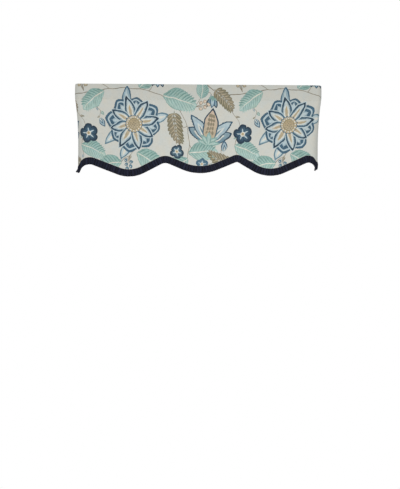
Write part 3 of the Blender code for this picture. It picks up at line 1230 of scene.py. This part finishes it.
FRINGE_LENGTH = 0.0312      # of the yarns, from the cloth's edge
YARN_PITCH = 0.00112        # one yarn to the next in a layer, where they are furthest apart
YARN_RADIUS = 0.00078
YARN_ROOT = -0.0015         # a yarn starts behind the cloth, this far above its edge
SPACED_AT = 0.55            # how far down their length the yarns are no wider apart than that either
LAYERS = (
    # how far in front of the fringe's middle each layer of yarns lies
    0.0026,
    0.0006,
    -0.0014,
    -0.0032,
)
YARN_ROWS = (
    # depth as a share of the length, share of the layer's distance, and share of the radius; the
    # first row is the root
    (0.00, 0.10, 0.75),
    (0.11, 0.62, 0.95),
    (0.34, 1.00, 1.00),
    (0.68, 0.98, 1.00),
    (1.00, 0.84, 0.72),
)
ROOT_BEHIND = 0.0017        # where the yarns start, behind the printed side
BODY_BEHIND = 0.0016        # the middle of the fringe's thickness, behind the printed side
LAYER_PHASE = 0.37          # shift of one layer's yarns against the next, as a share of the pitch
TUFT_PITCH = 0.0125         # yarns part a little at their tips in tufts this wide
TUFT_GATHER = 0.06
LENGTH_SPREAD = 0.0006      # unevenness of the yarns
SIDE_SPREAD = 0.0005
DEPTH_SPREAD = 0.0004
TAIL_FLARE = {"left": 0.014, "right": -0.005}   # how far the rear yarns stand out at their tips
TAIL_REACH = {"left": 0.050, "right": 0.120}    # and the length over which that dies out
HEAD_LENGTH = 0.009
YARN_INKS = ((22, 29, 46), (29, 27, 43))    # sRGB: between navy and plum
TONES = (0.60, 1.50)        # darkest and lightest yarn, as shares of that
TUFT_PAINTED_SHADING = 0.38            # painted highlight and shade: the middle of a tuft is lighter by this share and its sides darker, as light falls on a rounded tuft
TUFT_SPREAD = 0.24          # and one tuft is lighter than another
TUFT_STEP = 2.4             # angle from one tuft to the next in the wave that sets their tones
SEED = 11

TAPE_TOP = -0.0095          # the tape lies behind the cloth, from this far above its edge
TAPE_BOTTOM = 0.0006
TAPE_FRONT = 0.00125        # behind the printed side
TAPE_THICKNESS = 0.0008
TAPE_BULGE = 1.15           # it is thicker by this in its middle
TAPE_STEP = 0.0025
TAPE_HEM_STEP = 0.003       # over this length it climbs on to a side hem
TAPE_CLEAR = 0.0004         # and it ends this far from the cloth's rear edges
TAPE_INK = (24, 27, 40)


def tail_flare(across):
    """How far the tips stand out near a rear end."""
    side = "left" if across < 0 else "right"
    return TAIL_FLARE[side] * (1 - smooth((HALF_CUT - abs(across)) / TAIL_REACH[side]))


def below_edge(point, down, depth, sideways, behind):
    """A place below the cloth's edge, and the outward direction there."""
    flat = point + down * depth + Vector((down.y, -down.x)) * sideways
    across = min(max(flat.x, -HALF_CUT), HALF_CUT)
    place, outward = hang(across, flat.y, behind)
    below_head = max(0.0, depth - HEAD_LENGTH) / (FRINGE_LENGTH - HEAD_LENGTH)
    return place + outward * tail_flare(across) * below_head, outward


def yarn_stations(phase):
    """Places along the cloth's edge for the yarns of a layer, and how far along the fringe each is.

    On a rise the yarns spread towards their tips, and in a hollow towards the edge. Both are kept
    in. phase is the first yarn's place, as a share of the pitch.
    """
    fine = edge_stations(YARN_PITCH / 4)
    roots = [point for point, _ in fine]
    bodies = [point + down * FRINGE_LENGTH * SPACED_AT for point, down in fine]
    steps = [max((roots[k + 1] - roots[k]).length, (bodies[k + 1] - bodies[k]).length)
             for k in range(len(fine) - 1)]
    travelled = np.concatenate(((0.0,), np.cumsum(steps)))
    wanted = np.arange(phase * YARN_PITCH, travelled[-1], YARN_PITCH)
    return [(fine[index], place) for index, place in zip(np.searchsorted(travelled, wanted), wanted)]


def yarn_colour(tone, hue, tuft, in_tuft):
    """Scene-linear colour of a yarn, with painted highlight in the middle of its tuft and painted
    shade at the tuft's sides. tone and hue are -1 to 1, and in_tuft is -0.5 to 0.5.
    """
    low, high = TONES
    navy, plum = (linear(ink) for ink in YARN_INKS)
    dyed = navy + (plum - navy) * (hue + 1) / 2
    yarn_tone = low * (high / low) ** ((tone + 1) / 2)
    # painted highlight and shade across the tuft
    tuft_highlight_and_shade = TUFT_PAINTED_SHADING * math.cos(2 * math.pi * in_tuft)
    whole_tuft = TUFT_SPREAD * math.sin(TUFT_STEP * tuft)
    return dyed * yarn_tone * (1 + tuft_highlight_and_shade + whole_tuft)


def make_yarns(name, layers, material):
    """Layers of the fringe's brush of cut yarns, which is thickest just under the cloth's edge."""
    tubes = Tubes(TUBE_SIDES)
    radii = [YARN_RADIUS * share for _, _, share in YARN_ROWS]
    for number, forward in layers:
        chance = np.random.default_rng(SEED + number)
        for (point, down), travelled in yarn_stations(number * LAYER_PHASE % 1):
            side, depth_change, length_change, tone, hue = chance.uniform(-1, 1, 5)
            tuft = travelled // TUFT_PITCH
            in_tuft = travelled / TUFT_PITCH - tuft - 0.5
            length = FRINGE_LENGTH + length_change * LENGTH_SPREAD
            stands = forward + depth_change * DEPTH_SPREAD
            middles = []
            for share, apart, _ in YARN_ROWS:
                sideways = side * SIDE_SPREAD * share - in_tuft * TUFT_PITCH * TUFT_GATHER * share ** 2
                depth, body = (share * length, BODY_BEHIND) if share else (YARN_ROOT, ROOT_BEHIND)
                place, outward = below_edge(point, down, depth, sideways, body - stands * apart)
                middles.append(place)
            tubes.add(middles, radii, outward, yarn_colour(tone, hue, tuft, in_tuft))
    made = tubes.finish(name, material)
    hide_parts("fringe")
    return made


def make_tape(material):
    """The woven tape that holds the yarns, sewn to the back of the cloth along its edge."""
    section = (
        (TAPE_TOP, TAPE_FRONT),
        (TAPE_BOTTOM, TAPE_FRONT),
        (TAPE_BOTTOM, TAPE_FRONT + TAPE_THICKNESS),
        (TAPE_TOP / 2, TAPE_FRONT + TAPE_THICKNESS * TAPE_BULGE),
        (TAPE_TOP, TAPE_FRONT + TAPE_THICKNESS),
    )
    points = []
    stations = edge_stations(TAPE_STEP)
    end = HALF_CUT - TAPE_CLEAR
    hem_layer = 2 * SIDE_RADIUS - CLOTH_THICKNESS
    for point, down in stations:
        on_hem = smooth((abs(point.x) - HALF_CUT + SIDE_HEM) / TAPE_HEM_STEP + 1)
        for depth, behind in section:
            flat = point + down * depth
            across = min(max(flat.x, -end), end)
            points.append(hang(across, flat.y, behind + on_hem * hem_layer)[0])
    sides = len(section)
    faces = [[row * sides + turn % sides for turn, row in face]
             for face in bar_faces(len(stations), sides)]
    made = add_piece("fringe_tape", points, faces, material)
    corners = sum(len(face) for face in faces)
    add_inks(made.data, np.tile(linear(TAPE_INK), (corners, 1)))
    return made


# ---- Materials ------------------------------------------------------------------------------

THREAD_PITCH = 0.0012       # of the cloth's weave
WEAVE_DEPTH = 0.00012
COTTON_ROUGHNESS = 0.88
THREAD_ROUGHNESS = 0.6
TWIST_DEPTH = 0.0001        # of the sewing thread
YARN_ROUGHNESS = 0.8
PLY_DEPTH = 0.0003          # of the yarn and the tape

# Noises: steps a metre along each coordinate, and detail
MOTTLE = ((16.0, 16.0, 1.0), 3.0)
PATCHES = ((90.0, 90.0, 1.0), 3.0)
WARMTH = ((34.0, 34.0, 1.0), 2.0)       # warmer and cooler places
WEFT = ((45.0, 900.0, 1.0), 2.0)
WARP = ((900.0, 60.0, 1.0), 2.0)
BRUSH = ((210.0, 60.0, 1.0), 4.0)       # of the painted shapes
POOLED = ((55.0, 55.0, 1.0), 2.0)       # ink that ran together
THREAD_TWIST = ((2500.0, 2500.0, 2500.0), 2.0)
YARN_PLIES = ((900.0, 900.0, 900.0), 2.0)
TAPE_PLIES = ((1400.0, 1400.0, 1400.0), 2.0)
YARN_PATCHES = ((120.0, 120.0, 120.0), 3.0)
CLOUDS = ((1.5, 1.5, 1.5), 2.0)         # of the floor


class Nodes:
    """A material whose nodes are added one call each. An input is a number, a colour or a socket."""

    def __init__(self, name, **constants):
        self.material = bpy.data.materials.new(name)
        self.material.use_nodes = True
        self.tree = self.material.node_tree
        self.shader = self.tree.nodes["Principled BSDF"]
        for key, value in constants.items():
            entry = key.replace("_", " ").title().replace("Ior", "IOR")
            self.shader.inputs[entry].default_value = value

    def add(self, kind, *inputs, **settings):
        """A node with its inputs in order, None for one left as it is. Gives its first output."""
        node = self.tree.nodes.new("ShaderNode" + kind)
        for key, value in settings.items():
            setattr(node, key, value)
        for socket, value in zip(node.inputs, inputs):
            if isinstance(value, bpy.types.NodeSocket):
                self.tree.links.new(value, socket)
            elif value is not None:
                socket.default_value = value
        return node.outputs[0]

    def maths(self, operation, *inputs):
        return self.add("Math", *inputs, operation=operation)

    def noise(self, where, steps, detail):
        """Noise from -0.5 to 0.5."""
        stretched = self.add("VectorMath", where, steps, operation="MULTIPLY")
        value = self.add("TexNoise", stretched, None, 1.0, detail)
        return self.maths("SUBTRACT", value, 0.5)

    def total(self, start, *terms):
        """start plus each socket times its share."""
        for socket, share in terms:
            start = self.maths("MULTIPLY_ADD", socket, share, start)
        return start

    def object_place(self):
        """Coordinates in metres from the object's origin."""
        return self.tree.nodes.new("ShaderNodeTexCoord").outputs["Object"]

    def ink(self):
        """The mesh's own colour."""
        return self.add("VertexColor", layer_name="ink")

    def tinted(self, colour, factor):
        return self.add("VectorMath", colour, None, None, factor, operation="SCALE")

    def connect(self, name, socket):
        self.tree.links.new(socket, self.shader.inputs[name])

    def bump(self, height, distance, strength=1.0):
        node = self.tree.nodes.new("ShaderNodeBump")
        node.inputs["Strength"].default_value = strength
        node.inputs["Distance"].default_value = distance
        self.tree.links.new(height, node.inputs["Height"])
        self.connect("Normal", node.outputs[0])


def cloth_material():
    """Printed furnishing cotton: plain weave with uneven yarns, ink that varies a little, and painted
    shade in the hollows of the weave.
    """
    nodes = Nodes("printed_cotton", sheen_weight=0.12, sheen_roughness=0.5)
    flat = nodes.add("UVMap", uv_map="flat")
    parts = nodes.tree.nodes.new("ShaderNodeSeparateXYZ")
    nodes.tree.links.new(flat, parts.inputs[0])
    across = nodes.maths("SINE", nodes.maths("MULTIPLY", parts.outputs[0], math.pi / THREAD_PITCH))
    down = nodes.maths("SINE", nodes.maths("MULTIPLY", parts.outputs[1], math.pi / THREAD_PITCH))
    weave = nodes.maths("MULTIPLY", across, down)
    mottle, patches, warmth, weft, warp, brush, pooled = (
        nodes.noise(flat, *noise) for noise in (MOTTLE, PATCHES, WARMTH, WEFT, WARP, BRUSH, POOLED))
    # The weave term makes the raised places of the weave lighter and the sunken ones darker: painted
    # shade and highlight on the weave.
    thread_tones_and_weave_shade = nodes.total(1.0, (weft, 0.14), (warp, 0.10), (weave, 0.03))
    cotton = nodes.total(thread_tones_and_weave_shade, (mottle, 0.08), (patches, 0.08))
    wash = nodes.add("Attribute", attribute_name="wash").node.outputs["Fac"]
    painted = nodes.maths("MULTIPLY", wash, nodes.total(0.0, (brush, 0.45), (pooled, 0.45)))
    red = nodes.total(1.0, (warmth, 0.14))
    blue = nodes.total(1.0, (warmth, -0.14))
    tint = nodes.add("CombineXYZ", red, 1.0, blue)
    hue = nodes.add("VectorMath", nodes.ink(), tint, operation="MULTIPLY")
    nodes.connect("Base Color", nodes.tinted(hue, nodes.maths("ADD", cotton, painted)))
    nodes.connect("Roughness", nodes.total(COTTON_ROUGHNESS, (patches, 0.15), (weft, 0.10)))
    height = nodes.total(0.5, (weave, 0.35), (weft, 0.5), (warp, 0.4))
    nodes.bump(height, WEAVE_DEPTH)
    return nodes.material


def thread_material():
    """Twisted sewing thread."""
    nodes = Nodes("sewing_thread", roughness=THREAD_ROUGHNESS, sheen_weight=0.1)
    where = nodes.object_place()
    twist = nodes.noise(where, *THREAD_TWIST)
    nodes.connect("Base Color", nodes.tinted(nodes.ink(), nodes.total(1.0, (twist, 0.2))))
    nodes.bump(twist, TWIST_DEPTH)
    return nodes.material


def yarn_material(name, fine):
    """Dark dyed yarn with a faint sheen, uneven along its length. fine is the noise of its plies."""
    nodes = Nodes(name, sheen_weight=0.06, sheen_roughness=0.4, specular_ior_level=0.2)
    where = nodes.object_place()
    plies = nodes.noise(where, *fine)
    patches = nodes.noise(where, *YARN_PATCHES)
    tone = nodes.total(1.0, (plies, 0.5), (patches, 0.35))
    nodes.connect("Base Color", nodes.tinted(nodes.ink(), tone))
    nodes.connect("Roughness", nodes.total(YARN_ROUGHNESS, (plies, 0.2)))
    nodes.bump(plies, PLY_DEPTH)
    return nodes.material


# ---- The studio -----------------------------------------------------------------------------

CAMERA_PLACE = (0.0128, -3.0, -0.692)
CAMERA_ROLL = -0.0077       # radians: the photograph hangs slightly to the right
CAMERA_LENS = 51.1
CAMERA_SENSOR = 36.0        # height
FLOOR_HEIGHT = -2.3
FLOOR_RADIUS = 1.5
FLOOR_SEGMENTS = 128
FLOOR_COLOUR = (240, 239, 236)  # sRGB
FLOOR_ROUGHNESS = 0.9


def make_camera():
    camera = bpy.data.cameras.new("camera")
    camera.sensor_fit = "VERTICAL"
    camera.sensor_height = CAMERA_SENSOR
    camera.lens = CAMERA_LENS
    placed = add_object("camera", camera)
    placed.location = CAMERA_PLACE
    placed.rotation_euler = (math.pi / 2, CAMERA_ROLL, 0)
    bpy.context.scene.camera = placed


def make_floor():
    """A round pale floor, as far below the valance as a room's floor is."""
    round_floor = bmesh.new()
    bmesh.ops.create_circle(round_floor, cap_ends=True, segments=FLOOR_SEGMENTS, radius=FLOOR_RADIUS)
    bmesh.ops.translate(round_floor, verts=round_floor.verts, vec=(0.0, 0.0, FLOOR_HEIGHT))
    mesh = bpy.data.meshes.new("floor")
    round_floor.to_mesh(mesh)
    round_floor.free()
    nodes = Nodes("pale_floor", roughness=FLOOR_ROUGHNESS)
    where = nodes.object_place()
    clouds = nodes.noise(where, *CLOUDS)
    nodes.connect("Base Color", nodes.tinted(linear(FLOOR_COLOUR), nodes.total(1.0, (clouds, 0.04))))
    mesh.materials.append(nodes.material)
    floor = add_object("floor", mesh)


LAMPS = (
    # name, place, target, size, power
    ("key", (-1.3, -3.4, 1.2), (0.0, 0.0, -0.2), 2.4, 29.0),
    ("fill", (0.24, -1.1, -1.15), (0.10, 0.0, -0.34), 1.2, 9.0),
    ("rear", (0.0, 3.2, 0.9), (0.0, 0.0, -0.2), 2.4, 38.0),
)
AMBIENT = 0.575             # of the white surroundings, as light on the object


def make_lights():
    for name, place, target, size, power in LAMPS:
        lamp = bpy.data.lights.new(name, "AREA")
        lamp.shape = "DISK"
        lamp.size = size
        lamp.energy = power
        placed = add_object(name, lamp)
        placed.location = place
        placed.rotation_euler = (Vector(target) - Vector(place)).to_track_quat("-Z", "Y").to_euler()
        placed.visible_camera = False


def make_surroundings():
    """White all round: pure white to the camera, softer as light."""
    world = bpy.data.worlds.new("surroundings")
    world.use_nodes = True
    tree = world.node_tree
    tree.nodes.clear()
    path = tree.nodes.new("ShaderNodeLightPath")
    mix = tree.nodes.new("ShaderNodeMixShader")
    output = tree.nodes.new("ShaderNodeOutputWorld")
    tree.links.new(path.outputs["Is Camera Ray"], mix.inputs[0])
    for entry, strength in ((1, AMBIENT), (2, 1.0)):
        white = tree.nodes.new("ShaderNodeBackground")
        white.inputs["Strength"].default_value = strength
        white.inputs["Color"].default_value = (1.0, 1.0, 1.0, 1.0)
        tree.links.new(white.outputs[0], mix.inputs[entry])
    tree.links.new(mix.outputs[0], output.inputs["Surface"])
    bpy.context.scene.world = world
    bpy.context.scene.view_settings.view_transform = "Standard"


# ---- The whole ------------------------------------------------------------------------------


def main():
    make_camera()
    make_surroundings()
    make_lights()
    make_floor()
    cloth = make_cloth(cloth_material())
    stitches = make_stitches(thread_material())
    tape = make_tape(yarn_material("fringe_tape", TAPE_PLIES))
    yarn = yarn_material("fringe_yarn", YARN_PLIES)
    numbered = list(enumerate(LAYERS))
    front = make_yarns("fringe_front", numbered[:2], yarn)
    rear = make_yarns("fringe_rear", numbered[2:], yarn)
    cut = cut_outline()


main()
